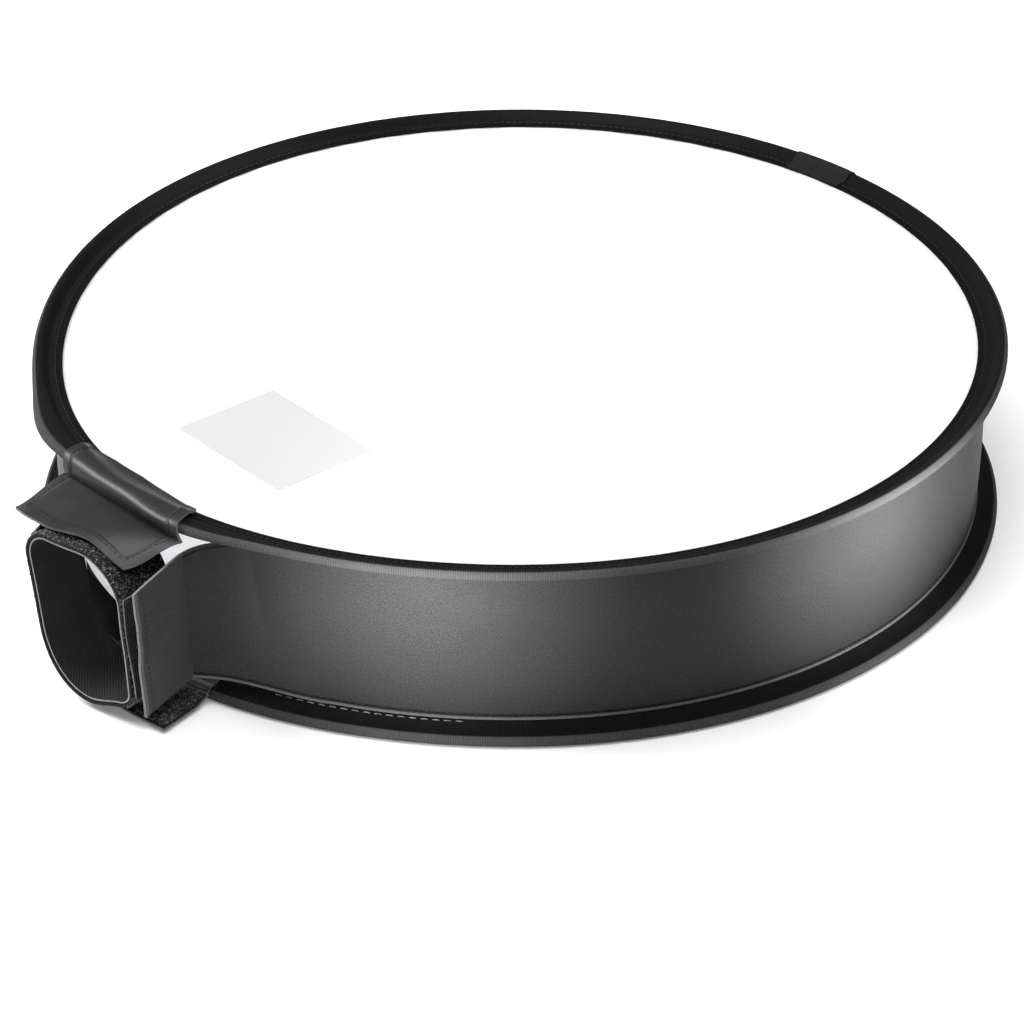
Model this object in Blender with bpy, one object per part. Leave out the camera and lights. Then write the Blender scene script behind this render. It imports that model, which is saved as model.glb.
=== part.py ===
"""Collapsible round flash diffuser: two sprung hoops, a cloth drum and a strap sleeve.

The drum lies on its rear hoop with the white diffuser facing up. The origin is the
centre of the rear panel's outside face, +Z points out through the diffuser, and the
flash head goes in through the sleeve on the -Y side. Lengths below are millimetres;
meshes are written in metres.
"""
import math

import bmesh
import bpy
from mathutils import Vector

MM = 0.001

# Hoops and their binding tape
SEGMENTS = 72
BEAD_CENTRE_R = 197.5
BEAD_R = 2.5
TAPE = 0.5
REAR_BEAD_Z = -5.15
FRONT_BEAD_Z = 69.85
FLANGE_END = -9.9
FLANGE_KNEE = -6.0
FLANGE_START = -2.0
REAR_TILT = 3.5
STRIP_EDGE = -5.6
OUTSIDE_FACE = ((FLANGE_END, -0.9), (FLANGE_KNEE, -0.7), (-4.0, -0.5))
INSIDE_FACE = ((FLANGE_KNEE, -2.9), (FLANGE_END, -3.1))
BEAD_TOP_DEG = 150
FRONT_INSIDE_DEG = -92
REAR_INSIDE_DEG = -60
BEAD_STEPS = 9
STRIP_STEPS = 7
OUTER_STRIP_DEG = -50
INNER_STRIP_DEG = 38
WIRE_R = 0.9
WIRE_SIDES_END_DEG = 315
WIRE_JOIN_GAP = 0.06
FERRULE_SHARE = 0.96
FERRULE_BORE = 1.3
FERRULE_R = 1.7
JOIN_BEARING = math.radians(92.5)
LAP_BEARINGS = (math.radians(90), math.radians(100))
SKIN_GAP = 0.15
LAP_T = 0.4

# The sleeve draws both hoops out of round
PULL = 12.0
PULL_BEARING = math.radians(-94.6)
PULL_SPREAD = math.radians(34)

# Panels
PANEL_T = 0.5
PANEL_TOP = -1.65
PANEL_R = 191.4
PANEL_FACE_R = 187.2
PANEL_BEVEL = 0.1
REFLECTOR_R = 186.6
REFLECTOR_Z = (0.8, 1.1)
LABEL_SIZE = (62.0, 46.5)
LABEL_CENTRE_Y = -138.0
LABEL_T = 0.25

# Cloth side wall
WALL_R = 190.9
WALL_T = 0.8
WALL_Z = (1.9, 66.4)
LINING_T = 0.4
LINING_MARGIN = 1.0
FLARE_FROM = math.radians(24)
FLARE_TOP_FROM = math.radians(15)
FLARE_STEPS = 6
FLARE_EASE = 0.35
TOP_LEAD = (1.5, 9.0)
LOWER_LEAD = (5.0, 5.0)

# Sleeve frame: u across the sleeve, v outwards, turned about Z
SLEEVE_YAW = math.radians(7.4)
SLEEVE_U0 = -28.0
SLEEVE_V0 = 213.0

# Strap: inside corners (u, z) and their radii, clockwise from the upper left
STRAP_CORNERS = (((-24.0, 61.5), 9.0), ((21.5, 63.0), 19.0),
                 ((28.0, 2.3), 5.0), ((-14.0, 2.3), 20.0))
STRAP_V = (2.9, 30.0)
CORNER_STEPS = 6
STRAP_LINING_T = 1.4
PILE_T = 1.7
HOOK_END_Z = (14.0, 46.0)
HOOK_END_T = 0.9

# Flaps and wings
LEATHER_T = 0.8
WRAP_BEARINGS = (math.radians(-101), math.radians(-82.5))
BOTTOM_WRAP_BEARINGS = (math.radians(-97), math.radians(-79))
CREASE_Y = -213.7
FLAP_GAP = 0.4
FLAP_STEPS = 8
FLAP_X = (-36.0, 30.0)
FLAP_OUTER_Y = (-241.0, -232.0)
FLAP_Z = 67.4
FLAP_T = 1.2
FLAP_SAG = 2.4
BOTTOM_FLAP_X = (-14.0, 41.0)
BOTTOM_FLAP_OUTER_Y = (-240.0, -235.0)
BOTTOM_FLAP_Z = -4.0
PAD_T = 0.8
PAD_GAP = 0.2
PAD_MARGIN = 6.0
LOOP_PAD_MARGIN = 0.5
WING_ROOT_V = 3.6
WING_END_V = {"right": 30.0, "left": 23.0}
WING_U = {"right": (35.6, 31.2), "left": (-19.6, -29.4)}
WING_ROOT_Z = (6.0, 61.0)
WING_TIP_Z = (1.0, 55.5)
WING_T = 1.2
WING_HINGE_GAP = 1.5
SIDES = {"right": 1, "left": -1}


# ---------------------------------------------------------------- building blocks

def clear_scene():
    for obj in list(bpy.data.objects):
        bpy.data.objects.remove(obj, do_unlink=True)


def material(name, colour, roughness, metallic=0.0):
    mat = bpy.data.materials.get(name) or bpy.data.materials.new(name)
    mat.use_nodes = True
    shader = mat.node_tree.nodes["Principled BSDF"]
    shader.inputs["Base Color"].default_value = (*colour, 1.0)
    shader.inputs["Roughness"].default_value = roughness
    shader.inputs["Metallic"].default_value = metallic
    return mat


def add_object(name, bm, mat, origin=(0.0, 0.0, 0.0)):
    """Turn a bmesh in millimetres into an object whose origin is given in millimetres."""
    bmesh.ops.recalc_face_normals(bm, faces=bm.faces)
    shift = Vector(origin)
    for vert in bm.verts:
        vert.co = (vert.co - shift) * MM
    mesh = bpy.data.meshes.new(name)
    bm.to_mesh(mesh)
    bm.free()
    mesh.materials.append(mat)
    mesh.shade_smooth()
    mesh.set_sharp_from_angle(angle=math.radians(35))
    obj = bpy.data.objects.new(name, mesh)
    obj.location = shift * MM
    bpy.context.collection.objects.link(obj)
    return obj


def loft(name, sections, mat, closed=False, origin=(0.0, 0.0, 0.0)):
    """Skin a row of equal sections; an open row gets a cap at each end."""
    bm = bmesh.new()
    rows = [[bm.verts.new(point) for point in section] for section in sections]
    pairs = list(zip(rows, rows[1:]))
    if closed:
        pairs.append((rows[-1], rows[0]))
    for first, second in pairs:
        for i, vert in enumerate(first):
            j = (i + 1) % len(first)
            bm.faces.new((vert, first[j], second[j], second[i]))
    if not closed:
        bm.faces.new(rows[0])
        bm.faces.new(reversed(rows[-1]))
    return add_object(name, bm, mat, origin)


def slab(name, lower, upper, mat, origin=(0.0, 0.0, 0.0)):
    """A plate between two matching outlines."""
    return loft(name, [lower, upper], mat, origin=origin)


# ---------------------------------------------------------------- drum geometry

def pull(bearing):
    """How far the sleeve draws the drum outwards at a bearing."""
    off = math.remainder(bearing - PULL_BEARING, math.tau)
    return PULL * math.exp(-(off / PULL_SPREAD) ** 2)


def on_grid(bearing, radius, z):
    reach = radius + pull(bearing)
    return Vector((reach * math.cos(bearing), reach * math.sin(bearing), z))


def drum_point(bearing, radius, z):
    """A point on the drum's faceted ring: between grid bearings it lies on the chord."""
    step = math.tau / SEGMENTS
    cell = math.floor(bearing / step + 1e-6)
    share = max(bearing / step - cell, 0.0)
    first = on_grid(cell * step, radius, z)
    return first.lerp(on_grid((cell + 1) * step, radius, z), share)


def bearings_between(start, end):
    """The two bearings with every grid bearing between them."""
    step = math.tau / SEGMENTS
    inner = [k * step for k in range(math.ceil(start / step + 0.05), math.ceil(end / step - 0.05))]
    return [start, *inner, end]


def ring_section(bearing, profile, bead_z, side):
    """Place a rim profile (distance from the bead's centre, height towards the outside)."""
    return [drum_point(bearing, BEAD_CENTRE_R + d, bead_z + side * h) for d, h in profile]


def ring(name, profile, bead_z, side, mat):
    step = math.tau / SEGMENTS
    rows = [ring_section(k * step, profile, bead_z, side) for k in range(SEGMENTS)]
    return loft(name, rows, mat, closed=True)


def arc(radius, start_deg, end_deg, steps):
    angles = [math.radians(start_deg + (end_deg - start_deg) * i / steps) for i in range(steps + 1)]
    return [(radius * math.cos(a), radius * math.sin(a)) for a in angles]


def tilted(points, tilt):
    """Step the flange away from the bead's plane: sloped to its knee, then level."""
    span = FLANGE_KNEE - FLANGE_START
    return [(d, h - tilt * min(max((d - FLANGE_START) / span, 0.0), 1.0)) for d, h in points]


def grown(path, offset):
    """An open path moved to its outer side by an offset, with mitred corners."""
    points = [Vector(point) for point in path]
    sides = []
    for here, there in zip(points, points[1:]):
        along = (there - here).normalized()
        sides.append(Vector((-along.y, along.x)))
    sides = [sides[0], *sides, sides[-1]]
    result = []
    for point, before, after in zip(points, sides, sides[1:]):
        result.append(point + (before + after) * offset / (1.0 + before.dot(after)))
    return result


def tape_path(tilt):
    """Outside of the binding: in along the outside face, round the bead and back out."""
    bead = arc(BEAD_R, BEAD_TOP_DEG, REAR_INSIDE_DEG if tilt else FRONT_INSIDE_DEG, BEAD_STEPS)
    return tilted(OUTSIDE_FACE, tilt) + bead + tilted(INSIDE_FACE, tilt)


def layer(path, near, far):
    """The closed outline between two offsets of a path."""
    return grown(path, near) + list(reversed(grown(path, far)))


def outer_strip(thickness):
    """A strip over the front rim: flange, bead and the bead's outer side."""
    path = list(OUTSIDE_FACE) + arc(BEAD_R, BEAD_TOP_DEG, OUTER_STRIP_DEG, STRIP_STEPS)
    return layer(path, SKIN_GAP, SKIN_GAP + thickness)


def inner_strip(thickness):
    """A strip over the rear rim from outside the wall, which stays clear of the ground."""
    bead = arc(BEAD_R, INNER_STRIP_DEG, REAR_INSIDE_DEG, STRIP_STEPS)
    leave, knee = Vector(bead[-1]), Vector(tilted(INSIDE_FACE, REAR_TILT)[0])
    edge = leave.lerp(knee, (STRIP_EDGE - leave.x) / (knee.x - leave.x))
    return layer(bead + [edge], SKIN_GAP, SKIN_GAP + thickness)


def partial_ring(name, profile, bead_z, side, bearings, mat):
    rows = [ring_section(b, profile, bead_z, side) for b in bearings_between(*bearings)]
    return loft(name, rows, mat)


# ---------------------------------------------------------------- hoops and panels

def hoop_wire(name, bead_z, mat):
    """Sprung wire whose two ends meet inside the ferrule, 1 mm apart."""
    step = math.tau / SEGMENTS
    gap = WIRE_JOIN_GAP * step
    start, end = JOIN_BEARING + gap, JOIN_BEARING + math.tau - gap
    profile = arc(WIRE_R, 0, WIRE_SIDES_END_DEG, 7)
    rows = [ring_section(b, profile, bead_z, 1) for b in bearings_between(start, end)]
    return loft(name, rows, mat)


def ferrule(name, bead_z, mat):
    """Crimped tube over the wire's join, straight along one facet of the ring."""
    half = math.pi / SEGMENTS * FERRULE_SHARE
    ends = (JOIN_BEARING - half, JOIN_BEARING + half)
    outside = arc(FERRULE_R, 0, WIRE_SIDES_END_DEG, 7)
    bore = arc(FERRULE_BORE, 0, WIRE_SIDES_END_DEG, 7)
    outer = [ring_section(b, outside, bead_z, 1) for b in ends]
    inner = [ring_section(b, bore, bead_z, 1) for b in reversed(ends)]
    return loft(name, outer + inner, mat, closed=True)


def disc(name, rows, mat):
    """A round plate from its lower face to its upper face, closed by two flat faces."""
    step = math.tau / SEGMENTS
    bearings = [k * step for k in range(SEGMENTS)]
    return loft(name, [[drum_point(b, r, z) for b in bearings] for r, z in rows], mat)


def panel(name, bead_z, side, tilt, mat):
    """A flat cloth panel whose edge lies in the binding's slot, bevelled on the outside."""
    outer = bead_z + side * (PANEL_TOP - tilt)
    rows = [(PANEL_FACE_R, outer), (PANEL_R, outer - side * PANEL_BEVEL), (PANEL_R, outer - side * PANEL_T)]
    return disc(name, rows, mat)


def label(mat):
    half_x, half_y = LABEL_SIZE[0] / 2, LABEL_SIZE[1] / 2
    low = FRONT_BEAD_Z + PANEL_TOP + SKIN_GAP
    outline = [(-half_x, -half_y), (half_x, -half_y), (half_x, half_y), (-half_x, half_y)]
    lower = [Vector((x, LABEL_CENTRE_Y + y, low)) for x, y in outline]
    upper = [point + Vector((0, 0, LABEL_T)) for point in lower]
    return slab("blank_label", lower, upper, mat)


# ---------------------------------------------------------------- side wall

def bezier(points, t):
    a, b, c, d = points
    s = 1.0 - t
    return a * s ** 3 + b * 3 * s * s * t + c * 3 * s * t * t + d * t ** 3


def plan(bearing, radius):
    return drum_point(bearing, radius, 0.0).xy


def flare(side_name, top):
    """Plan points where the wall leaves the hoops and runs out to a wing's hinge.

    The lower edge leaves early and runs straight; the upper edge stays on the hoop longer.
    """
    side = SIDES[side_name]
    radius = WALL_R - WALL_T / 2
    hinge = wing_root(side_name, WING_ROOT_Z[1] if top else WING_ROOT_Z[0], WING_HINGE_GAP).xy
    leave = math.radians(-90) + side * FLARE_FROM
    turn = math.radians(-90) + side * FLARE_TOP_FROM
    points = []
    corner = plan(leave, radius)
    across, back = TOP_LEAD if top else LOWER_LEAD
    if top:
        points = [plan(leave + (turn - leave) * i / 2, radius) for i in (1, 2)]
        corner = points[-1]
    path = (corner, corner.lerp(hinge, FLARE_EASE), hinge + Vector((side * across, back)), hinge)
    steps = FLARE_STEPS - len(points)
    return points + [bezier(path, i / steps) for i in range(1, steps + 1)]


def wall_rows():
    """Lower and upper plan paths of the wall, from the right hinge round to the left one."""
    step = math.tau / SEGMENTS
    first = math.radians(-90) + FLARE_FROM
    last = math.radians(270) - FLARE_FROM
    inside = [k * step for k in range(math.ceil(first / step), math.floor(last / step) + 1)]
    around = [plan(b, WALL_R - WALL_T / 2) for b in (first, *inside, last)]
    return [list(reversed(flare("right", top))) + around + flare("left", top) for top in (False, True)]


def wall_heights(index, count, margin):
    """The wall's lower and upper heights; its hems rise and dip towards the wings."""
    steps_in = min(index, count - 1 - index)
    share = max(0.0, 1.0 - steps_in / FLARE_STEPS)
    low = WALL_Z[0] + (WING_ROOT_Z[0] - WALL_Z[0]) * share
    high = WALL_Z[1] + (WING_ROOT_Z[1] - WALL_Z[1]) * share ** 2
    return low + margin, high - margin


def normals(path):
    """Unit outward normals of a plan path that runs anticlockwise about the drum."""
    result = []
    for i in range(len(path)):
        along = path[min(i + 1, len(path) - 1)] - path[max(i - 1, 0)]
        result.append(Vector((along.y, -along.x)).normalized())
    return result


def wall_sheet(name, shift, thickness, margin, trim, mat):
    """A sheet along the wall path, moved outwards by a shift; trim drops end rows."""
    lower, upper = wall_rows()
    lower_n, upper_n = normals(lower), normals(upper)
    count = len(lower)
    rows = []
    for i in range(trim, count - trim):
        low, high = wall_heights(i, count, margin)
        section = []
        for path, normal, z in ((lower, lower_n, low), (upper, upper_n, high)):
            outer = path[i] + normal[i] * (shift + thickness / 2)
            inner = path[i] + normal[i] * (shift - thickness / 2)
            section.append((outer.to_3d() + Vector((0, 0, z)), inner.to_3d() + Vector((0, 0, z))))
        (low_out, low_in), (high_out, high_in) = section
        rows.append([low_out, high_out, high_in, low_in])
    return loft(name, rows, mat)


# ---------------------------------------------------------------- sleeve

def sleeve(u, v, z):
    """A point of the sleeve's own frame in the part's frame."""
    across, out = SLEEVE_U0 + u, -(SLEEVE_V0 + v)
    c, s = math.cos(SLEEVE_YAW), math.sin(SLEEVE_YAW)
    return Vector((across * c - out * s, across * s + out * c, z))


def strap_outline(offset):
    """Rounded four-sided loop, grown by an offset from the strap's inside."""
    corners = [Vector(point) for point, _ in STRAP_CORNERS]
    outline = []
    for i, (_, radius) in enumerate(STRAP_CORNERS):
        here = corners[i]
        to_last = (corners[i - 1] - here).normalized()
        to_next = (corners[(i + 1) % 4] - here).normalized()
        half = to_last.angle(to_next) / 2
        centre = here + (to_last + to_next).normalized() * radius / math.sin(half)
        start = (here + to_last * radius / math.tan(half)) - centre
        sweep = -(math.pi - 2 * half)
        for k in range(CORNER_STEPS + 1):
            turn = sweep * k / CORNER_STEPS
            c, s = math.cos(turn), math.sin(turn)
            spoke = Vector((start.x * c - start.y * s, start.x * s + start.y * c))
            outline.append(centre + spoke.normalized() * (radius + offset))
    return outline


def strap_tube(name, inner, outer, mat):
    """An open loop of strap between two offsets, along the sleeve's axis."""
    rows = []
    for offset, v in ((inner, STRAP_V[0]), (outer, STRAP_V[0]), (outer, STRAP_V[1]), (inner, STRAP_V[1])):
        rows.append([sleeve(p.x, v, p.y) for p in strap_outline(offset)])
    return loft(name, rows, mat, closed=True)


def strap_hook_end(mat):
    """The strap's free end, lapped over the pile on its right-hand side."""
    top, bottom = (Vector(STRAP_CORNERS[i][0]) for i in (1, 2))
    out = Vector((top.y - bottom.y, bottom.x - top.x)).normalized()
    start = STRAP_LINING_T + PILE_T + 2 * SKIN_GAP
    outlines = []
    for offset in (start, start + HOOK_END_T):
        ends = [top.lerp(bottom, (top.y - z) / (top.y - bottom.y)) + out * offset for z in HOOK_END_Z]
        low, high = ends
        outlines.append([sleeve(low.x, STRAP_V[0] + 1, low.y), sleeve(low.x, STRAP_V[1] - 1, low.y),
                         sleeve(high.x, STRAP_V[1] - 1, high.y), sleeve(high.x, STRAP_V[0] + 1, high.y)])
    return slab("strap_hook_end", *outlines, mat)


def flap_plate(name, x_range, outer_y, z, thickness, sag, inset, mat, hinge_z):
    """A flap from its crease to its slanted outer edge, arched across when it sags."""
    rows = []
    for i in range(FLAP_STEPS + 1):
        x = x_range[0] + inset + (x_range[1] - x_range[0] - 2 * inset) * i / FLAP_STEPS
        across = (x - x_range[0]) / (x_range[1] - x_range[0])
        low = z - sag * (2 * across - 1) ** 2
        y_in = CREASE_Y - FLAP_GAP - inset
        y_out = outer_y[0] + (outer_y[1] - outer_y[0]) * across + inset
        rows.append([Vector((x, y_in, low)), Vector((x, y_out, low)),
                     Vector((x, y_out, low + thickness)), Vector((x, y_in, low + thickness))])
    return loft(name, rows, mat, origin=(sum(x_range) / 2, CREASE_Y, hinge_z))


def wing_u(side_name, z):
    """Where a wing's inside face stands across the sleeve at a height."""
    low, high = WING_U[side_name]
    return low + (high - low) * z / WING_ROOT_Z[1]


def wing_root(side_name, z, gap):
    """A point ahead of a wing's inner edge; the wing folds on the line halfway to the wall."""
    return sleeve(wing_u(side_name, z) + SIDES[side_name] * WING_T / 2, WING_ROOT_V - gap, z)


def wing_plate(name, side_name, offset, thickness, inset, mat):
    """A plate that leans with the strap's side, grown outwards from the wing's inside face."""
    side = SIDES[side_name]
    near, far = WING_ROOT_V + inset, WING_END_V[side_name] - inset
    corners = ((near, WING_ROOT_Z[0] + inset), (far, WING_TIP_Z[0] + inset),
               (far, WING_TIP_Z[1] - inset), (near, WING_ROOT_Z[1] - inset))
    faces = []
    for extra in (offset, offset + thickness):
        faces.append([sleeve(wing_u(side_name, z) + side * extra, v, z) for v, z in corners])
    return slab(name, *faces, mat, origin=wing_root(side_name, WING_ROOT_Z[0], WING_HINGE_GAP / 2))


# ---------------------------------------------------------------- assembly

def build_rims(tape, steel):
    for name, bead_z, side, tilt in (("front", FRONT_BEAD_Z, 1, 0.0), ("rear", REAR_BEAD_Z, -1, REAR_TILT)):
        hoop_wire(f"{name}_hoop_wire", bead_z, steel)
        ferrule(f"{name}_hoop_ferrule", bead_z, steel)
        ring(f"{name}_rim_binding", layer(tape_path(tilt), 0.0, -TAPE), bead_z, side, tape)
    partial_ring("front_binding_lap", outer_strip(LAP_T), FRONT_BEAD_Z, 1, LAP_BEARINGS, tape)
    partial_ring("rear_binding_lap", inner_strip(LAP_T), REAR_BEAD_Z, -1, LAP_BEARINGS, tape)


def build_drum(shell, black, silver, white, patch):
    panel("front_diffuser", FRONT_BEAD_Z, 1, 0.0, white)
    label(patch)
    panel("rear_panel", REAR_BEAD_Z, -1, REAR_TILT, black)
    disc("rear_reflector", [(REFLECTOR_R, z) for z in REFLECTOR_Z], silver)
    wall_sheet("side_wall", 0.0, WALL_T, 0.0, 0, shell)
    lining_shift = -(WALL_T / 2 + SKIN_GAP + LINING_T / 2)
    wall_sheet("side_wall_lining", lining_shift, LINING_T, LINING_MARGIN, FLARE_STEPS, silver)


def build_strap(foam, pile, hook):
    strap_tube("strap_lining", 0.0, STRAP_LINING_T, foam)
    pile_from = STRAP_LINING_T + SKIN_GAP
    strap_tube("strap_pile", pile_from, pile_from + PILE_T, pile)
    strap_hook_end(hook)


def build_top_flap(leather, hook):
    hinge_z = FLAP_Z + FLAP_T / 2
    pad_z = FLAP_Z - PAD_GAP - PAD_T
    outline = (FLAP_X, FLAP_OUTER_Y)
    partial_ring("top_flap_rim_wrap", outer_strip(LEATHER_T), FRONT_BEAD_Z, 1, WRAP_BEARINGS, leather)
    flap_plate("top_flap", *outline, FLAP_Z, FLAP_T, FLAP_SAG, 0.0, leather, hinge_z)
    flap_plate("top_flap_hook_pad", *outline, pad_z, PAD_T, FLAP_SAG, PAD_MARGIN, hook, hinge_z)


def build_bottom_flap(leather, pile):
    hinge_z = BOTTOM_FLAP_Z + FLAP_T / 2
    pad_z = BOTTOM_FLAP_Z + FLAP_T + PAD_GAP
    outline = (BOTTOM_FLAP_X, BOTTOM_FLAP_OUTER_Y)
    bearings = BOTTOM_WRAP_BEARINGS
    partial_ring("bottom_flap_rim_wrap", inner_strip(LEATHER_T), REAR_BEAD_Z, -1, bearings, leather)
    flap_plate("bottom_flap", *outline, BOTTOM_FLAP_Z, FLAP_T, 0.0, 0.0, leather, hinge_z)
    flap_plate("bottom_flap_loop_pad", *outline, pad_z, PAD_T, 0.0, LOOP_PAD_MARGIN, pile, hinge_z)


def build_wings(shell, hook):
    for side_name in SIDES:
        wing_plate(f"{side_name}_wing", side_name, 0.0, WING_T, 0.0, shell)
        pad_from = -(PAD_GAP + PAD_T)
        wing_plate(f"{side_name}_wing_hook_pad", side_name, pad_from, PAD_T, PAD_MARGIN, hook)


def build():
    clear_scene()
    tape = material("binding_tape", (0.045, 0.046, 0.05), 0.75)
    shell = material("shell_cloth", (0.11, 0.11, 0.115), 0.6)
    black = material("black_cloth", (0.02, 0.02, 0.022), 0.8)
    silver = material("silver_cloth", (0.75, 0.76, 0.78), 0.35, 0.6)
    white = material("diffuser_cloth", (0.9, 0.9, 0.9), 0.7)
    patch = material("label_cloth", (0.82, 0.82, 0.82), 0.6)
    steel = material("spring_steel", (0.6, 0.6, 0.62), 0.3, 1.0)
    leather = material("leatherette", (0.05, 0.05, 0.055), 0.4)
    foam = material("strap_foam", (0.07, 0.07, 0.075), 0.8)
    pile = material("loop_pile", (0.02, 0.02, 0.022), 0.9)
    hook = material("hook_tape", (0.025, 0.025, 0.028), 0.7)
    build_rims(tape, steel)
    build_drum(shell, black, silver, white, patch)
    build_strap(foam, pile, hook)
    build_top_flap(leather, hook)
    build_bottom_flap(leather, pile)
    build_wings(shell, hook)


build()
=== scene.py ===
"""Looks of a folding flash diffuser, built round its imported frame.

Points are in millimetres in the frame's axes: +Z up through the diffuser, -Y out through
the sleeve. Objects are written in metres. A piece's UVs are millimetres of its own cloth.
"""
import math
from types import SimpleNamespace

import bmesh
import bpy
import numpy as np
from mathutils import Matrix, Vector, noise

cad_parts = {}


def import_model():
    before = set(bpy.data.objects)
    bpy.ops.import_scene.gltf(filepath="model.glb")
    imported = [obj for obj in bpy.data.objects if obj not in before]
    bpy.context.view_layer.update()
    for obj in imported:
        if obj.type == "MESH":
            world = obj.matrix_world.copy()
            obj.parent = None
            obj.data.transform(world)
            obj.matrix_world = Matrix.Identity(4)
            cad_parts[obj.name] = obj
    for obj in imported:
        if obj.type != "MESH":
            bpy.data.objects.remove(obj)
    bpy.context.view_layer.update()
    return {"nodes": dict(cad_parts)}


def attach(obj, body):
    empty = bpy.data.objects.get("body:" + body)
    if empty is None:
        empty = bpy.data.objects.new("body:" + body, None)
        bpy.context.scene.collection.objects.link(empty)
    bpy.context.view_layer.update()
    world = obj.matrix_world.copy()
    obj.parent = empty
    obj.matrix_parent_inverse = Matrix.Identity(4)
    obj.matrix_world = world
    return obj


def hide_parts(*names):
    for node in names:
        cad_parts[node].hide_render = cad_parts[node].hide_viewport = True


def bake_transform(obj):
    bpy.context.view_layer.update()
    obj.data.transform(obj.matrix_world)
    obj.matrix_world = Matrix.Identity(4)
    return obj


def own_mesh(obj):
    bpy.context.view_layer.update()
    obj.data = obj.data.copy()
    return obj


MM = 0.001
SEED = 11

# Drum, as the frame has it
BEAD_R = 2.5
BEAD_CENTRE_R = 197.5
FRONT_BEAD_Z = 69.85
REAR_BEAD_Z = -5.15
FLANGE_INNER = -9.9
FLANGE_START = -2.0
TAPE_OUTSIDE = ((FLANGE_INNER, -0.9), (-8.6, -0.75), (-7.1, -0.75), (-6.6, -0.62), (-4.0, -0.5))
TAPE_INSIDE = (-3.6, -5.4, -7.6, FLANGE_INNER)
INSIDE_H = -2.75
INSIDE_DROP = 0.35
BEAD_FLATTENED = 0.42
FLATTENED_FROM = (math.radians(6), math.radians(12))
FERRULE_BEARING = math.radians(92.5)
TAPE_T = 0.5
TAPE_STIR = 0.06
REAR_TILT = 3.5
SEAM_D = -6.9
SEAM_H = -0.54
DASH_BEARINGS = (math.radians(-73), math.radians(-50))
DASH_D = -5.6
FLOOR_Z = -7.65
PULL = 12.0
PULL_BEARING = math.radians(-94.6)
PULL_SPREAD = math.radians(34)
BULGES = ((math.radians(-82), math.radians(6.5), 4.5), (math.radians(-107), math.radians(8), 5.5))
BULGED_RADII = (195.5, 200.0)
RING_STEPS = 360
LAP_BEARINGS = (math.radians(89.9), math.radians(98.7))
LAP_SKINS = (0.15, 0.6)
LAP_POINTS = 26
LAP_STEPS = 40

# Cloths
DIFFUSER_R = 191.0
DIFFUSER_Z = 67.95
DIFFUSER_SAG = 0.7
DIFFUSER_STIR = 0.25
PANEL_R = 187.9
PANEL_Z = 0.26
REFLECTOR_R = 186.4
REFLECTOR_Z = 1.35
DISC_STEPS = 150
CLOTH_T = 0.45
LABEL_SIZE = (64.0, 48.0)
LABEL_CENTRE = (-1.0, -137.0)
LABEL_YAW = math.radians(-2.2)
WALL_R = 190.5
WALL_T = 0.8
WALL_Z = (0.5, 66.4)
WAIST = -1.0
FLARE_FROM = math.radians(24)
FLARE_TOP_FROM = math.radians(13.6)
FLARE_STEPS = 44
WALL_STEPS = 300
WALL_ROWS = 26
WALL_LINING_SHIFT = 0.85

# Sleeve frame: u across, v outwards, turned about Z
SLEEVE_YAW = math.radians(7.4)
SLEEVE_U0 = -28.0
SLEEVE_V0 = 213.0
STRAP_CORNERS = (((-24.0, 61.5), 9.0), ((21.5, 63.0), 19.0), ((28.0, 3.0), 5.0), ((-14.0, 1.5), 24.0))
STRAP_DROOP = 4.5
STRAP_V = (2.9, 30.0)
STRAP_COLUMNS = 15
CORNER_STEPS = 20
STRAIGHT_STEPS = 16
STRAP_STIR = 0.5
LINING_T = 0.7
PILE_BASE_T = 1.1
PILE_GAP = 0.45
PILE_TRIES = 6000
PILE_LOOPS = 3700
PILE_UNDER_FLAP = 0.62
PILE_FRONT_COLUMNS = 4
PILE_UNDER_STRAP = -0.85
HOOK_END_Z = (7.0, 50.0)
HOOK_T = 0.8
HOOK_LIFT = 3.1
WING_U = {"right": (35.6, 31.2), "left": (-19.6, -29.4)}
WING_ROOT_V = 3.6
WING_END = {"right": 30.0, "left": 22.5}
WING_ROOT_Z = (6.0, 61.0)
WING_TIP_Z = (1.0, 55.5)
WING_T = 1.1
WING_STEPS = 34
HINGE_GAP = 1.5
SIDES = {"right": 1, "left": -1}

# Flaps
LEATHER_T = 0.7
HEM = 5.0
HEM_RISE = 0.45
CREASE_Y = -213.7
CREASE_Z = 66.9
WRAP_INNER = (math.radians(-103.1), math.radians(-83.4))
CREASE_X = (-38.0, 33.0)
FLAP_OUTER_X = (-37.0, 24.5)
FLAP_EDGE = (0.0, 0.15, 0.42, 0.63, 0.72, 0.83, 0.93, 1.0)
FLAP_EDGE_Y = (-240.2, -243.3, -243.4, -240.4, -239.2, -238.4, -237.6, -235.8)
FLAP_EDGE_Z = (61.8, 64.4, 65.5, 67.3, 67.4, 65.3, 62.2, 59.8)
WRAP_START = ((-11.2, 0.25), (-9.0, 0.5), (-6.2, 1.5), (-3.8, 3.0))
WRAP_LAST = (4.1, -2.9)
WRAP_EDGE_D = (-6.8, -10.6, -12.2, -11.2, -9.0)
BOTTOM_START = ((-5.3, 3.15), (-3.4, 3.3))
BOTTOM_X = (-14.0, 38.5)
BOTTOM_OUTER_X = (-9.0, 43.5)
BOTTOM_OUTER_Y = (-238.0, -234.5)
BOTTOM_Z = -5.6
PAD_LOOPS = 1500

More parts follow.
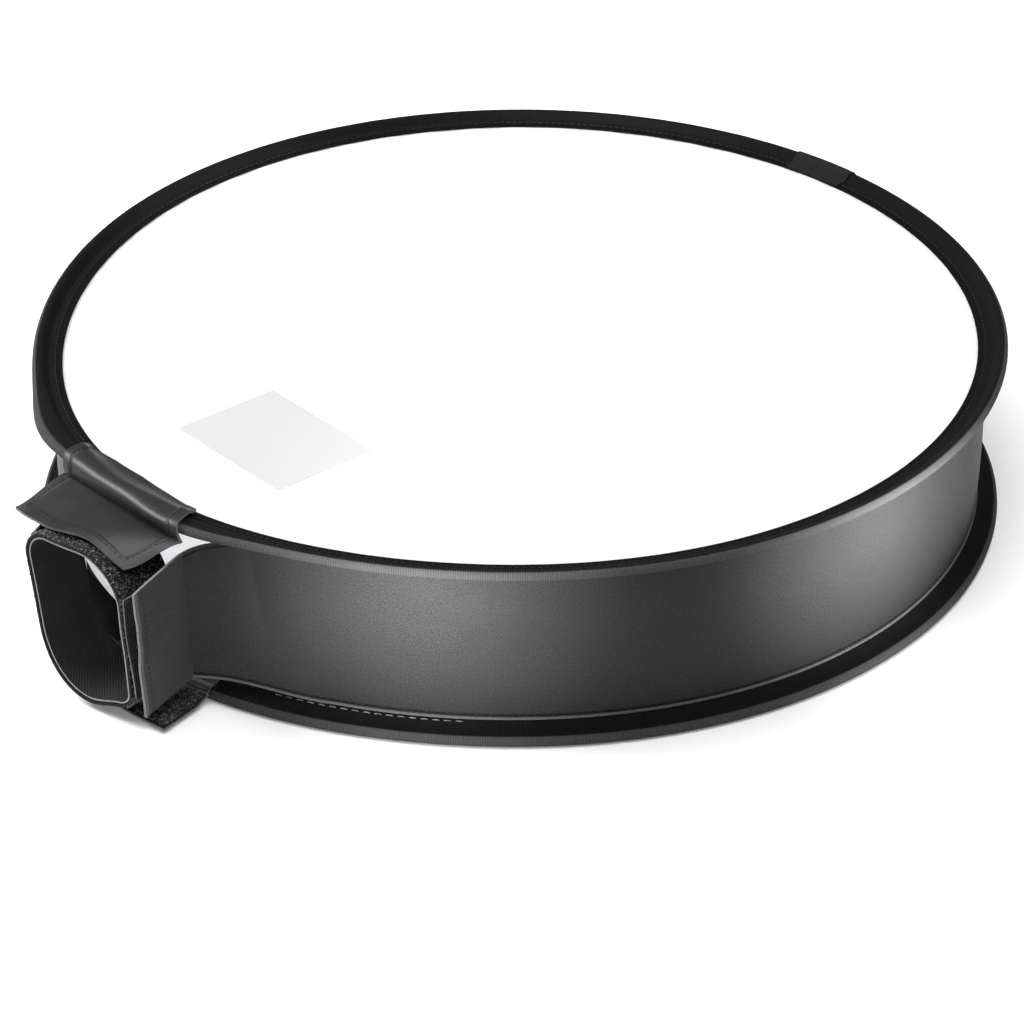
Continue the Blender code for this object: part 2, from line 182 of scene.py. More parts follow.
# Camera and lights: metres; AIM is the tangents of how far the view is turned off its target
SENSOR = 36.0
LENS = 158.203
AZIMUTH = math.radians(46.4)
ELEVATION = math.radians(29.734)
ROLL = math.radians(-0.432)
DISTANCE = 1.8960
CAMERA_TARGET = (0.0, 0.0, 0.03235)
AIM = (-0.003089, -0.024422)
LIGHT_TARGET = (0.0, 0.0, 0.03)
FLOOR_SIZE = 6.0

# Sewing: each ring of a stitch is (place along it, girth)
STITCH_SHAPE = ((-1.0, 0.25), (-0.8, 0.8), (-0.3, 1.0), (0.3, 1.0), (0.8, 0.8), (1.0, 0.25))
STITCH_SIDES = 6
CURL_TAPER = (0.7, 1, 1, 1, 1, 1, 0.6)
CURL_T = 0.17
CURL_LEAN = 0.35
CURL_TURN = (math.radians(170), math.radians(290))


# ---------------------------------------------------------------- points and meshes

def pull(bearing):
    """How far the sleeve draws the drum outwards at a bearing."""
    off = (bearing - PULL_BEARING + math.pi) % math.tau - math.pi
    return PULL * np.exp(-(off / PULL_SPREAD) ** 2)


def bulge(bearing, radius, z):
    """Beside the sleeve the front bead swings further out than the cloth inside it."""
    swing = 0.0
    for centre, spread, amount in BULGES:
        off = np.remainder(bearing - centre + math.pi, math.tau) - math.pi
        swing = swing + amount * np.exp(-(off / spread) ** 2)
    return swing * smooth(*BULGED_RADII, radius) * (np.asarray(z) > WALL_Z[1] / 2)


def drum(bearing, radius, z):
    """Points on the drum at bearings, radii and heights, as an array of xyz."""
    bearing, radius, z = np.broadcast_arrays(bearing, radius, z)
    reach = radius + pull(bearing) + bulge(bearing, radius, z)
    return np.stack([reach * np.cos(bearing), reach * np.sin(bearing), z], -1)


def sleeve(u, v, z):
    """Points of the sleeve's own frame in the object's frame."""
    u, v, z = np.broadcast_arrays(u, v, z)
    across, out = SLEEVE_U0 + u, -(SLEEVE_V0 + v)
    c, s = math.cos(SLEEVE_YAW), math.sin(SLEEVE_YAW)
    return np.stack([across * c - out * s, across * s + out * c, z], -1)


def lerp(a, b, t):
    return a + (b - a) * t


def smooth(low, high, x):
    t = np.clip((x - low) / (high - low), 0.0, 1.0)
    return t * t * (3 - 2 * t)


def wobble(points, scale, seed=0.0):
    """Smooth noise from -1 to 1 at each point, for a feature size in millimetres."""
    flat = np.asarray(points, float).reshape(-1, 3) / scale
    values = [noise.noise(Vector(p) + Vector((seed, 0, 0))) for p in flat.tolist()]
    return np.array(values).reshape(np.shape(points)[:-1])


def grid_normals(grid, wrap):
    if wrap:
        along = np.roll(grid, -1, 0) - np.roll(grid, 1, 0)
    else:
        along = np.gradient(grid, axis=0)
    across = np.gradient(grid, axis=1)
    normal = np.cross(along, across)
    return normal / np.maximum(np.linalg.norm(normal, axis=-1, keepdims=True), 1e-9)


def facing_up(grid):
    """Normals of an open sheet, turned so that they point up."""
    normal = grid_normals(grid, False)
    return normal if normal[..., 2].sum() > 0 else -normal


def grid_faces(rows, cols, wrap_rows, wrap_cols):
    """Quads over a grid of vertices, and each corner's place in the grid."""
    i, j = np.meshgrid(np.arange(rows - (not wrap_rows)), np.arange(cols - (not wrap_cols)), indexing="ij")
    i, j = i.ravel(), j.ravel()
    corners = [(i, j), (i + 1, j), (i + 1, j + 1), (i, j + 1)]
    faces = np.stack([(a % rows) * cols + b % cols for a, b in corners], 1)
    return faces, np.stack([np.stack(c, 1) for c in corners], 1)


def unit(vectors):
    return vectors / np.linalg.norm(vectors, axis=-1, keepdims=True)


def lengths(points):
    steps = np.linalg.norm(np.diff(points, axis=0), axis=-1)
    return np.concatenate([[0.0], np.cumsum(steps)])


def placed(name, data):
    obj = bpy.data.objects.new(name, data)
    bpy.context.scene.collection.objects.link(obj)
    return obj


def add_piece(name, points, faces, uvs, mats, body, face_mats=None, sharp=40):
    """A mesh object that rides on a body; body None leaves it unattached."""
    mesh = bpy.data.meshes.new(name)
    faces = faces.tolist() if isinstance(faces, np.ndarray) else faces
    mesh.from_pydata((np.asarray(points, float) * MM).tolist(), [], faces)
    if uvs is not None:
        mesh.uv_layers.new(name="cloth").data.foreach_set("uv", np.asarray(uvs, np.float32).ravel())
    for mat in mats:
        mesh.materials.append(mat)
    if face_mats is not None:
        mesh.polygons.foreach_set("material_index", np.asarray(face_mats, np.int32))
    bm = bmesh.new()
    bm.from_mesh(mesh)
    bmesh.ops.recalc_face_normals(bm, faces=bm.faces)
    bm.to_mesh(mesh)
    bm.free()
    mesh.shade_smooth()
    mesh.set_sharp_from_angle(angle=math.radians(sharp))
    obj = placed(name, mesh)
    if body:
        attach(obj, body)
    return obj


def sheet_mesh(name, grid, thickness, mats, body, wrap=False, normals=None):
    """A closed sheet from its middle surface; its cut edges take the second material."""
    rows, cols = grid.shape[:2]
    normal = grid_normals(grid, wrap) if normals is None else normals
    half = np.asarray(thickness)[..., None] / 2 if np.ndim(thickness) else thickness / 2
    top, low = grid + normal * half, grid - normal * half
    points = np.concatenate([top, low[:, ::-1]], 1)
    faces, place = grid_faces(rows, 2 * cols, wrap, True)
    if wrap:
        s = lengths(np.concatenate([grid[:, cols // 2], grid[:1, cols // 2]]))
    else:
        s = lengths(grid[:, cols // 2])
    t = lengths(grid[rows // 2])
    t = np.concatenate([t, t[::-1], t[:1]])
    uvs = np.stack([s[place[..., 0]], t[place[..., 1]]], -1)
    edge = (place[:, 0, 1] == cols - 1) | (place[:, 0, 1] == 2 * cols - 1)
    face_mats = edge.astype(int) * (len(mats) > 1)
    if not wrap:
        j = np.arange(cols - 1)
        for row, s_end in ((0, s[0]), (rows - 1, s[-1])):
            base = row * 2 * cols
            cap = np.stack([base + j, base + j + 1, base + 2 * cols - 2 - j, base + 2 * cols - 1 - j], 1)
            faces = np.concatenate([faces, cap])
            cap_uv = np.stack([np.full((cols - 1, 4), s_end),
                               np.stack([t[j], t[j + 1], t[j + 1], t[j]], 1)], -1)
            uvs = np.concatenate([uvs, cap_uv])
            face_mats = np.concatenate([face_mats, np.full(cols - 1, int(len(mats) > 1))])
    return add_piece(name, points.reshape(-1, 3), faces, uvs, mats, body, face_mats)


def frames_along(path, up):
    """Tangent, side and up at each point of a path whose up directions are given."""
    tangent = unit(np.gradient(path, axis=0))
    side = unit(np.cross(tangent, up))
    return tangent, side, np.cross(side, tangent)


def resample(path, extra, spacing):
    """Evenly spaced points on a path, with another array carried along it."""
    run = lengths(path)
    at = np.arange(spacing / 2, run[-1], spacing)
    pick = [np.stack([np.interp(at, run, a[:, k]) for k in range(3)], -1) for a in (path, extra)]
    return pick[0], pick[1]


def stitches(name, runs, mat, body, pitch, long, thick):
    """Sewn thread: one rounded stitch each pitch along every run of (path, up)."""
    rings, sides = len(STITCH_SHAPE), STITCH_SIDES
    turn = np.arange(sides)[:, None] / sides * math.tau
    single = grid_faces(rings, sides, False, True)[0].tolist()
    single += [list(range(sides)), list(range((rings - 1) * sides, rings * sides))]
    points, faces = [], []
    for path, up in runs:
        where, lift = resample(path, up, pitch)
        for mid, tangent, side, above in zip(where, *frames_along(where, lift)):
            base = len(points) * sides
            faces += [[base + corner for corner in face] for face in single]
            spoke = np.cos(turn) * side + np.sin(turn) * above
            for share, girth in STITCH_SHAPE:
                dip = (1 - share ** 2) * thick * 0.35 - thick * 0.15
                points.append(mid + tangent * share * long / 2 + above * dip + spoke * girth * thick / 2)
    return add_piece(name, np.concatenate(points), faces, None, [mat], body, sharp=180)


def curls(name, where, normal, tangent, mat, body, rng, radius):
    """Loop pile: a small open hook of thread at each place, leaning its own way."""
    count, steps, sides = len(where), len(CURL_TAPER), 4
    spin = rng.uniform(0, math.tau, count)
    side = np.cross(normal, tangent)
    along = tangent * np.cos(spin)[:, None] + side * np.sin(spin)[:, None]
    lean = unit(normal + rng.normal(0, CURL_LEAN, (count, 3)))
    size = rng.uniform(*radius, count)
    reach = rng.uniform(*CURL_TURN, count)
    a = np.linspace(0, 1, steps)[None] * reach[:, None] - 0.5
    core = (where[:, None] + lean[:, None] * (size[:, None] * (np.sin(a) + 0.35))[..., None]
            + along[:, None] * (size[:, None] * np.cos(a))[..., None])
    step = unit(np.gradient(core, axis=1))
    off = np.cross(lean, along)[:, None] * np.ones((1, steps, 1))
    other = np.cross(step, off)
    turn = np.arange(sides) / sides * math.tau
    taper = np.array(CURL_TAPER)[None, :, None, None]
    spoke = off[:, :, None] * np.cos(turn)[:, None] + other[:, :, None] * np.sin(turn)[:, None]
    rings = core[:, :, None] + CURL_T / 2 * taper * spoke
    points = rings.reshape(-1, 3)
    faces, _ = grid_faces(steps, sides, False, True)
    caps = np.array([[3, 2, 1, 0], [(steps - 1) * sides + q for q in range(sides)]])
    single = np.concatenate([faces, caps])
    every = (single[None] + (np.arange(count) * steps * sides)[:, None, None]).reshape(-1, 4)
    return add_piece(name, points, every, None, [mat], body)


# ---------------------------------------------------------------- materials

def node(mat, kind, props=None, **inputs):
    made = mat.node_tree.nodes.new(kind)
    for key, value in (props or {}).items():
        setattr(made, key, value)
    for key, value in inputs.items():
        socket = made.inputs[int(key[1:])] if key[0] == "i" and key[1:].isdigit() else made.inputs[key]
        if isinstance(value, bpy.types.NodeSocket):
            mat.node_tree.links.new(value, socket)
        else:
            socket.default_value = value
    return made


def math_node(mat, operation, a, b=0.0, c=0.0):
    return node(mat, "ShaderNodeMath", {"operation": operation}, i0=a, i1=b, i2=c).outputs[0]


def plus(mat, a, b):
    return math_node(mat, "ADD", a, b)


def times(mat, a, b):
    return math_node(mat, "MULTIPLY", a, b)


def between(mat, value, low, high):
    """A value from 0 to 1 carried to a range."""
    return node(mat, "ShaderNodeMapRange", None, i0=value, i3=low, i4=high).outputs[0]


def uv_height(mat, uv):
    return node(mat, "ShaderNodeSeparateXYZ", None, Vector=uv).outputs[1]


def principled(name, roughness, **values):
    mat = bpy.data.materials.new(name)
    mat.use_nodes = True
    shader = mat.node_tree.nodes["Principled BSDF"]
    shader.inputs["Roughness"].default_value = roughness
    for key, value in values.items():
        shader.inputs[key.replace("_", " ")].default_value = value
    return mat


def link(mat, output, socket):
    mat.node_tree.links.new(output, mat.node_tree.nodes["Principled BSDF"].inputs[socket])


def cloth_uv(mat):
    return node(mat, "ShaderNodeUVMap", {"uv_map": "cloth"}).outputs[0]


def object_mm(mat):
    coords = node(mat, "ShaderNodeTexCoord").outputs["Object"]
    return node(mat, "ShaderNodeMapping", None, Vector=coords, Scale=(1000, 1000, 1000)).outputs[0]


def noise_of(mat, vector, scale, detail=2.0, roughness=0.5):
    return node(mat, "ShaderNodeTexNoise", None, Vector=vector, Scale=scale, Detail=detail,
                Roughness=roughness).outputs[0]


def bands(mat, vector, period, direction, distortion=0.0):
    """Ribs of a period in millimetres."""
    props = {"wave_type": "BANDS", "bands_direction": direction, "wave_profile": "SIN"}
    scale = math.tau / (20 * period)
    made = node(mat, "ShaderNodeTexWave", props, Vector=vector, Scale=scale, Distortion=distortion)
    return made.outputs["Fac"]


def ramp(mat, value, stops):
    made = node(mat, "ShaderNodeValToRGB", None, Fac=value)
    elements = made.color_ramp.elements
    while len(elements) < len(stops):
        elements.new(0.5)
    for element, (at, colour) in zip(elements, stops):
        element.position = at
        element.color = (*colour, 1.0) if np.ndim(colour) else (colour, colour, colour, 1.0)
    return made.outputs[0]


def mixed(mat, factor, a, b, mode="MIX"):
    made = node(mat, "ShaderNodeMix", {"data_type": "RGBA", "blend_type": mode})
    for index, value in ((0, factor), (6, a), (7, b)):
        if isinstance(value, bpy.types.NodeSocket):
            mat.node_tree.links.new(value, made.inputs[index])
        else:
            made.inputs[index].default_value = value
    return made.outputs[2]


def bump(mat, height, strength, distance_mm):
    made = node(mat, "ShaderNodeBump", None, Strength=strength, Distance=distance_mm * MM, Height=height)
    link(mat, made.outputs[0], "Normal")


def window(mat, value, low, high, soft):
    """1 where a value lies between low and high, with soft ends."""
    props = {"interpolation_type": "SMOOTHSTEP"}
    up = node(mat, "ShaderNodeMapRange", props, i0=value, i1=low - soft, i2=low + soft).outputs[0]
    down = node(mat, "ShaderNodeMapRange", props, i0=value, i1=high - soft, i2=high + soft).outputs[0]
    return math_node(mat, "SUBTRACT", up, down)


def grosgrain(name, dark, light, lip, strip):
    """Ribbed binding tape, with a painted highlight on its outer lip and a painted shadow in a strip inside
    the stitching.
    """
    mat = principled(name, 0.75, Specular_IOR_Level=0.05)
    uv = cloth_uv(mat)
    across = uv_height(mat, uv)
    ribs = bands(mat, uv, 0.95, "X", 1.6)
    fuzz = noise_of(mat, uv, 2.6, 3.0)
    broad = noise_of(mat, uv, 0.06, 2.0)
    base = ramp(mat, fuzz, ((0.3, dark), (0.72, light)))
    # Painted highlight: the bead's outer lip is lightened with a ribbed, fuzzy tone that stands in for the
    # light it catches.
    lip_highlight = mixed(mat, 0.5, ramp(mat, ribs, ((0.1, 0.038), (0.9, 0.08))),
                 ramp(mat, fuzz, ((0.3, 0.02), (0.7, 0.1))))
    base = mixed(mat, times(mat, window(mat, across, *lip, 0.35), 0.85), base, lip_highlight)
    # Painted shadow: a near-black strip along the tape's inner edge, inside the stitching, beside the
    # diffuser.
    base = mixed(mat, window(mat, across, *strip, 0.25), base, (0.004, 0.004, 0.0045, 1))
    base = mixed(mat, 0.35, base, ramp(mat, broad, ((0.3, 0.6), (0.7, 1.0))), "MULTIPLY")
    link(mat, base, "Base Color")
    height = plus(mat, ribs, times(mat, fuzz, 0.6))
    bump(mat, height, 0.55, 0.35)
    return mat


def coated_nylon(name, dark, light, seams=()):
    """Charcoal nylon with a fine speckle, a twill, soft creases and a painted shadow line at each given
    height, over the gap above a hem.
    """
    mat = principled(name, 0.45, Specular_IOR_Level=0.12)
    uv = cloth_uv(mat)
    speck = noise_of(mat, uv, 1.5, 2.5, 0.75)
    broad = noise_of(mat, uv, 0.035, 2.0)
    base = ramp(mat, speck, ((0.28, dark), (0.5, (dark + light) / 2), (0.75, light)))
    base = mixed(mat, 0.3, base, ramp(mat, broad, ((0.3, 0.75), (0.7, 1.0))), "MULTIPLY")
    # Painted shadow: a near-black line at each height, where the gap above the lower hem falls into shade.
    for at in seams:
        height = uv_height(mat, uv)
        base = mixed(mat, window(mat, height, at - 0.5, at + 0.5, 0.2), base, (0.004, 0.004, 0.004, 1))
    link(mat, base, "Base Color")
    rough = between(mat, speck, 0.34, 0.56)
    link(mat, rough, "Roughness")
    weave = plus(mat, times(mat, bands(mat, uv, 0.7, "DIAGONAL"), 0.35),
                      times(mat, speck, 2.2))
    crease = noise_of(mat, uv, 0.05, 3.0)
    bump(mat, plus(mat, weave, times(mat, crease, 5.0)), 0.4, 0.28)
    return mat


def leatherette(name):
    mat = principled(name, 0.4, Specular_IOR_Level=0.4, Coat_Weight=0.15, Coat_Roughness=0.4)
    uv = cloth_uv(mat)
    edges = {"feature": "DISTANCE_TO_EDGE"}
    cells = node(mat, "ShaderNodeTexVoronoi", edges, Vector=uv, Scale=1.1).outputs[0]
    fine = noise_of(mat, uv, 3.0, 3.0)
    broad = noise_of(mat, uv, 0.08, 2.0)
    base = ramp(mat, broad, ((0.3, 0.0035), (0.7, 0.0075)))
    base = mixed(mat, 0.4, base, ramp(mat, fine, ((0.3, 0.7), (0.7, 1.0))), "MULTIPLY")
    link(mat, base, "Base Color")
    rough = between(mat, fine, 0.4, 0.53)
    link(mat, rough, "Roughness")
    grain = plus(mat, times(mat, cells, 1.2),
                      times(mat, fine, 0.5))
    bump(mat, plus(mat, grain, times(mat, broad, 3.0)), 0.35, 0.2)
    return mat


def threads(name, dark, light, roughness=0.6):
    mat = principled(name, roughness, Specular_IOR_Level=0.25)
    speck = noise_of(mat, object_mm(mat), 0.9, 2.0)
    link(mat, ramp(mat, speck, ((0.35, dark), (0.7, light))), "Base Color")
    bump(mat, noise_of(mat, object_mm(mat), 6.0, 2.0), 0.3, 0.1)
    return mat


def raw_edge(name, dark, light):
    """Cut edge of a laminated cloth, where its pale core shows."""
    mat = principled(name, 0.85, Sheen_Weight=0.2)
    speck = noise_of(mat, object_mm(mat), 1.8, 3.0, 0.7)
    link(mat, ramp(mat, speck, ((0.3, dark), (0.7, light))), "Base Color")
    bump(mat, speck, 0.6, 0.3)
    return mat


def ribbed_foam(name):
    mat = principled(name, 0.8, Specular_IOR_Level=0.15)
    uv = cloth_uv(mat)
    ribs = bands(mat, uv, 0.8, "DIAGONAL", 0.6)
    speck = noise_of(mat, uv, 1.6, 2.0)
    base = mixed(mat, 0.5, ramp(mat, speck, ((0.3, 0.01), (0.7, 0.024))),
                 ramp(mat, ribs, ((0.2, 0.006), (0.8, 0.034))))
    link(mat, base, "Base Color")
    bump(mat, plus(mat, ribs, speck), 0.6, 0.3)
    return mat


def dotted(name, dark, light, period):
    """Hook tape: rows of tiny moulded hooks."""
    mat = principled(name, 0.55, Specular_IOR_Level=0.4)
    uv = cloth_uv(mat)
    dots = times(mat, bands(mat, uv, period, "X"), bands(mat, uv, period, "Y"))
    link(mat, ramp(mat, dots, ((0.3, dark), (0.8, light))), "Base Color")
    bump(mat, dots, 0.9, 0.5)
    return mat


def silver_film(name):
    mat = principled(name, 0.4, Metallic=0.25, Specular_IOR_Level=0.6)
    where = object_mm(mat)
    soft = {"feature": "SMOOTH_F1"}
    crinkle = node(mat, "ShaderNodeTexVoronoi", soft, Vector=where, Scale=0.16).outputs[0]
    fine = noise_of(mat, where, 0.9, 3.0)
    link(mat, ramp(mat, fine, ((0.3, (0.86, 0.87, 0.89)), (0.7, (0.97, 0.97, 0.98)))), "Base Color")
    bump(mat, plus(mat, times(mat, crinkle, 3.0), fine), 0.45, 0.5)
    return mat


def diffusing_nylon(name, low, high, through):
    """White cloth that lets part of the light through."""
    mat = principled(name, 0.6, Specular_IOR_Level=0.3)
    uv = cloth_uv(mat)
    weave = plus(mat, bands(mat, uv, 0.55, "X"), bands(mat, uv, 0.55, "Y"))
    speck = noise_of(mat, uv, 0.8, 2.0)
    tint = ramp(mat, speck, ((0.3, (low, low, low)), (0.7, (high, high, high))))
    link(mat, tint, "Base Color")
    bump(mat, plus(mat, weave, speck), 0.15, 0.12)
    glow = node(mat, "ShaderNodeBsdfTranslucent", None, Color=tint)
    blended = node(mat, "ShaderNodeMixShader", None, Fac=through)
    tree = mat.node_tree
    tree.links.new(tree.nodes["Principled BSDF"].outputs[0], blended.inputs[1])
    tree.links.new(glow.outputs[0], blended.inputs[2])
    tree.links.new(blended.outputs[0], tree.nodes["Material Output"].inputs["Surface"])
    return mat


def spring_steel(name):
    mat = principled(name, 0.3, Metallic=1.0)
    where = object_mm(mat)
    tint = ((0.3, (0.42, 0.42, 0.43)), (0.7, (0.62, 0.62, 0.63)))
    link(mat, ramp(mat, noise_of(mat, where, 0.5, 3.0), tint), "Base Color")
    rough = between(mat, noise_of(mat, where, 2.0), 0.2, 0.42)
    link(mat, rough, "Roughness")
    return mat


def paper_floor(name):
    mat = principled(name, 0.8, Specular_IOR_Level=0.2, Emission_Strength=0.15)
    speck = noise_of(mat, object_mm(mat), 0.02, 2.0)
    link(mat, ramp(mat, speck, ((0.3, 0.9), (0.7, 0.92))), "Base Color")
    return mat


# ---------------------------------------------------------------- rims

def arc(radius, start, end, steps):
    angles = np.radians(np.linspace(start, end, steps + 1))
    return np.stack([radius * np.cos(angles), radius * np.sin(angles)], -1)


def rim_skin(offset):
    """Profile of the folded tape (distance from the bead's centre, height outwards)."""
    outside = np.array(TAPE_OUTSIDE) + [0, offset]
    return np.concatenate([outside, arc(BEAD_R + offset, 150, -92, 26), inside_face(offset)])


def inside_face(offset):
    """The tape's face on the drum's inside, from the bead to its inner edge."""
    d = np.array(TAPE_INSIDE)
    share = (d - d[0]) / (d[-1] - d[0])
    return np.stack([d, INSIDE_H - INSIDE_DROP * share - offset], -1)


def rear_skin(offset):
    """The rear lap starts outside the wall and ends before the ground."""
    return np.concatenate([inside_face(offset)[1::-1], arc(BEAD_R + offset, -92, 36, 16)])


def tilt_of(d, tilt):
    return tilt * np.maximum(0.0, (d - FLANGE_START) / (FLANGE_INNER - FLANGE_START))


def rim_points(bearings, profile, bead_z, side, tilt, stir=0.0):
    """Profile points carried round the hoop: rows follow the bearings."""
    d, h = profile[:, 0], profile[:, 1] - tilt_of(profile[:, 0], tilt)
    h = np.broadcast_to(h, (len(bearings), len(h)))
    if side > 0:
        off = np.abs(np.remainder(bearings - FERRULE_BEARING + math.pi, math.tau) - math.pi)
        flat = BEAD_FLATTENED * smooth(*FLATTENED_FROM, off)[:, None]
        h = np.where((h < 0) & (d > FLANGE_START - 0.2), h * (1 - flat), h)
    grid = drum(bearings[:, None], BEAD_CENTRE_R + d[None], bead_z + side * h)
    if stir:
        grid[..., 2] += side * stir * wobble(grid, 9.0)
    return grid


def closed_profile_piece(name, grid, mats, body, wrap):
    rows, cols = grid.shape[:2]
    faces, place = grid_faces(rows, cols, wrap, True)
    mid = grid[:, cols // 4]
    s = lengths(np.concatenate([mid, mid[:1]])) if wrap else lengths(mid)
    t = lengths(np.concatenate([grid[0], grid[0, :1]]))
    uvs = np.stack([s[place[..., 0]], t[place[..., 1]]], -1).tolist()
    faces = faces.tolist()
    if not wrap:
        for row, s_end in ((0, s[0]), (rows - 1, s[-1])):
            for j in range(cols // 2 - 1):
                a, b = row * cols + j, row * cols + j + 1
                c, d = row * cols + cols - 2 - j, row * cols + cols - 1 - j
                faces.append([a, b, c, d])
                uvs.append([[s_end, t[j]], [s_end, t[j + 1]], [s_end, t[j + 1]], [s_end, t[j]]])
    return add_piece(name, grid.reshape(-1, 3), faces, uvs, mats, body)


def binding(name, bead_z, side, tilt, mats, body):
    bearings = np.arange(RING_STEPS) / RING_STEPS * math.tau
    profile = np.concatenate([rim_skin(0.0), rim_skin(-TAPE_T)[::-1]])
    grid = rim_points(bearings, profile, bead_z, side, tilt, TAPE_STIR)
    piece = closed_profile_piece(name, grid, mats, body, True)
    return piece


def binding_stitches(name, bead_z, side, tilt, mat, body):
    bearings = np.linspace(0, math.tau, 2 * RING_STEPS + 1)
    path = rim_points(bearings, np.array([[SEAM_D, SEAM_H]]), bead_z, side, tilt)[:, 0]
    up = np.tile([0.0, 0.0, float(side)], (len(path), 1))
    return stitches(name, [(path, up)], mat, body, pitch=2.9, long=2.0, thick=0.4)


def hem_dashes(mat):
    """Pale stitches that show on the rear tape where the wall lifts towards the sleeve."""
    bearings = np.linspace(*DASH_BEARINGS, 90)
    skin = inside_face(0.12)
    height = np.interp(DASH_D, skin[::-1, 0], skin[::-1, 1])
    path = rim_points(bearings, np.array([[DASH_D, height]]), REAR_BEAD_Z, -1, REAR_TILT)[:, 0]
    up = np.tile([0.0, 0.0, 1.0], (len(path), 1))
    return stitches("rear_hem_stitching", [(path, up)], mat, "rear_frame", pitch=4.6, long=3.0, thick=0.5)


def lap(name, bead_z, side, tilt, mats, body):
    """The tape's overlapped end."""
    skin, outer = (rim_skin(o)[:LAP_POINTS] if side > 0 else rear_skin(o) for o in LAP_SKINS)
    profile = np.concatenate([skin, outer[::-1]])
    bearings = np.linspace(*LAP_BEARINGS, LAP_STEPS)[:, None]
    d, h = profile[:, 0], profile[:, 1] - tilt_of(profile[:, 0], tilt)
    grid = drum(bearings, BEAD_CENTRE_R + d[None], bead_z + side * h[None])
    piece = closed_profile_piece(name, grid, mats, body, False)
    return piece


# ---------------------------------------------------------------- round cloths

def disc_grid(radius, z):
    """A square grid bent to a disc that follows the hoop's outline."""
    across = np.linspace(-1, 1, DISC_STEPS)
    a, b = np.meshgrid(across, across, indexing="ij")
    x, y = a * np.sqrt(1 - b * b / 2), b * np.sqrt(1 - a * a / 2)
    share, bearing = np.hypot(x, y), np.arctan2(y, x)
    reach = share * (radius + share ** 3 * pull(bearing))
    grid = np.stack([reach * np.cos(bearing), reach * np.sin(bearing), np.full_like(reach, z)], -1)
    return grid, share, bearing


def diffuser_dip(grid, share):
    """Height of the stretched diffuser's surface over its rim; the grid is still flat."""
    return DIFFUSER_STIR * wobble(grid, 45.0) - DIFFUSER_SAG * (1 - share ** 2)


def diffuser(mats):
    grid, share, bearing = disc_grid(DIFFUSER_R, DIFFUSER_Z)
    ripple = 0.12 * np.sin(bearing * 58) * smooth(0.86, 0.99, share)
    grid[..., 2] += ripple + diffuser_dip(grid, share)
    piece = sheet_mesh("diffuser_cloth", grid, CLOTH_T, mats, "front_frame")
    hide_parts("front_diffuser")
    return piece


def patch(mats):
    """Blank patch lying on the diffuser."""
    across = np.linspace(-1, 1, 40)
    x, y = np.meshgrid(across * LABEL_SIZE[0] / 2, across * LABEL_SIZE[1] / 2, indexing="ij")
    c, s = math.cos(LABEL_YAW), math.sin(LABEL_YAW)
    x, y = LABEL_CENTRE[0] + x * c - y * s, LABEL_CENTRE[1] + x * s + y * c
    grid = np.stack([x, y, np.full_like(x, DIFFUSER_Z)], -1)
    grid[..., 2] += 0.35 + diffuser_dip(grid, np.hypot(x, y) / DIFFUSER_R)
    piece = sheet_mesh("blank_patch", grid, 0.2, mats, "front_frame")
    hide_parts("blank_label")


def rear_cloths(black, silver):
    grid, share, _ = disc_grid(PANEL_R, PANEL_Z)
    rim = smooth(0.985, 1.0, share)
    grid[..., 2] -= 0.35 * rim
    panel = sheet_mesh("rear_panel_cloth", grid, 0.5, black, "rear_frame")
    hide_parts("rear_panel")
    grid, share, _ = disc_grid(REFLECTOR_R, REFLECTOR_Z)
    grid[..., 2] += (0.7 * wobble(grid, 26.0) + 0.35 * wobble(grid, 9.0)) * (1 - smooth(0.9, 1.0, share))
    lining = sheet_mesh("reflective_back", grid, 0.3, silver, "rear_frame")
    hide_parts("rear_reflector")


# ---------------------------------------------------------------- side wall and wings

def wing_u(side, z):
    low, high = WING_U[side]
    return low + (high - low) * np.asarray(z) / WING_ROOT_Z[1]


def wing_middle(side, v, z):
    return sleeve(wing_u(side, z) + SIDES[side] * WING_T / 2, v, z)


def bezier(points, t):
    a, b, c, d = (np.asarray(p)[None] for p in points)
    s, t = (1 - t)[:, None], t[:, None]
    return a * s ** 3 + 3 * b * s * s * t + 3 * c * s * t * t + d * t ** 3


def flare(side, top):
    """Where the wall leaves the hoops and runs out to a wing: plan points, hoop first."""
    sign = SIDES[side]
    root = WING_ROOT_V - HINGE_GAP
    hinge = wing_middle(side, root, WING_ROOT_Z[1] if top else WING_ROOT_Z[0])[:2]
    leave = math.radians(-90) + sign * FLARE_FROM
    turn = math.radians(-90) + sign * FLARE_TOP_FROM
    if top:
        on_hoop = drum(np.linspace(leave, turn, FLARE_STEPS // 3 + 1)[1:], WALL_R, 0.0)[:, :2]
        corner, lead = on_hoop[-1], np.array([sign * 1.5, 9.0])
    else:
        on_hoop = np.zeros((0, 2))
        corner, lead = drum(leave, WALL_R, 0.0)[:2], np.array([sign * 5.0, 5.0])
    path = (corner, corner + (hinge - corner) * 0.35, hinge + lead, hinge)
    rest = FLARE_STEPS - len(on_hoop)
    return np.concatenate([on_hoop, bezier(path, np.arange(1, rest + 1) / rest)])


